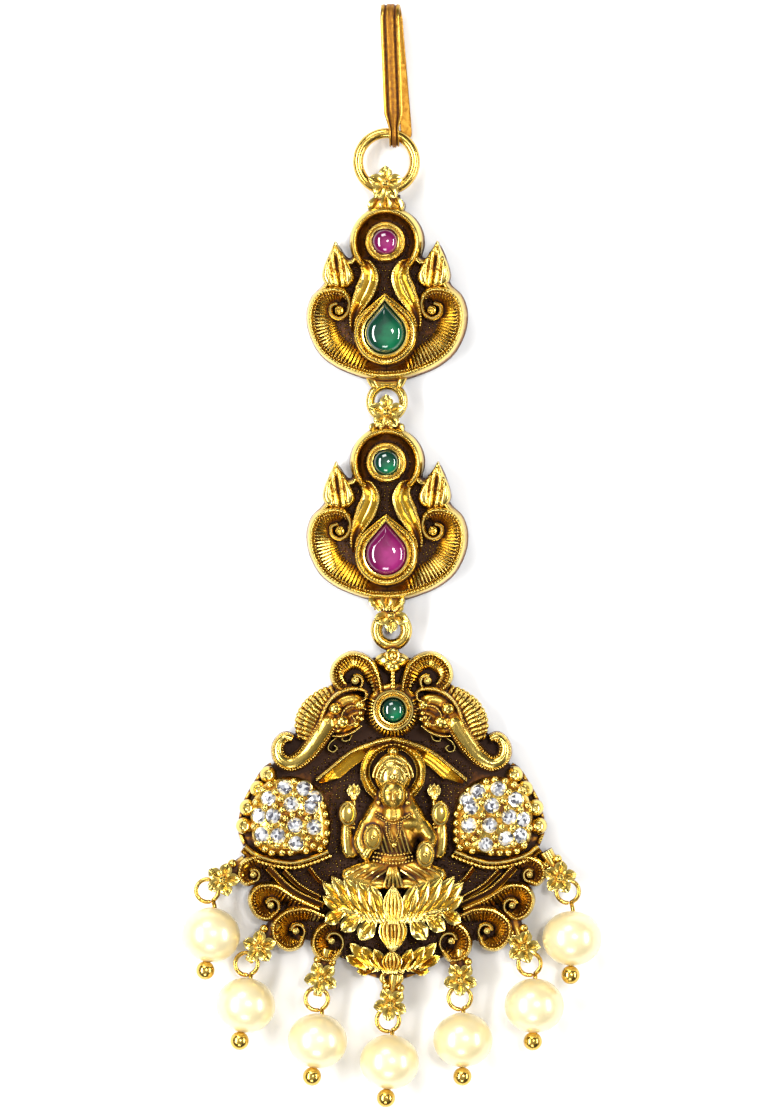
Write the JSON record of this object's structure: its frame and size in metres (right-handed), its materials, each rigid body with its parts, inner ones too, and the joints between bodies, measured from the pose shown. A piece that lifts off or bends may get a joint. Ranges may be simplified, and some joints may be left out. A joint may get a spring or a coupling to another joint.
{
  "type": "maang tikka",
  "caption": "Forehead ornament: a hair hook and ring, two stone-set links, and a cast pendant with a seated figure on a lotus, two pave domes and a fringe of pearl drops.",
  "frame": {"origin": "middle of the underside of the whole ornament, as it lies on its back", "axes": "+Y along the ornament towards the hair hook, +X to the right seen from the front, +Z out of its face"},
  "size_m": [0.0418, 0.1098, 0.0061],
  "materials": {
    "antique_gold": "antique gold plate, polished on the raised edges and oxidised dark brown in the recesses",
    "bright_gold": "plain polished gold-plated wire and beads",
    "ruby_glass": "polished pink-red cabochon glass over foil",
    "emerald_glass": "polished green cabochon glass over foil",
    "pave_stones": "clear faceted stones held by gold prong beads",
    "pearl": "cream imitation pearl, satin with a soft gloss"
  },
  "bodies": {
    "root": {"hair_hook": "antique_gold", "hook_ring": "antique_gold", "upper_link": "antique_gold", "upper_round_stone": "ruby_glass", "upper_pear_stone": "emerald_glass", "lower_link": "antique_gold", "lower_round_stone": "emerald_glass", "lower_pear_stone": "ruby_glass", "pendant": "antique_gold", "pendant_round_stone": "emerald_glass", "left_pave_dome": "pave_stones", "right_pave_dome": "pave_stones", "drop_pin_1": "bright_gold", "pearl_1": "pearl", "drop_pin_2": "bright_gold", "pearl_2": "pearl", "drop_pin_3": "bright_gold", "pearl_3": "pearl", "drop_pin_4": "bright_gold", "pearl_4": "pearl", "drop_pin_5": "bright_gold", "pearl_5": "pearl", "drop_pin_6": "bright_gold", "pearl_6": "pearl", "drop_pin_7": "bright_gold", "pearl_7": "pearl"}
  },
  "joints": []
}
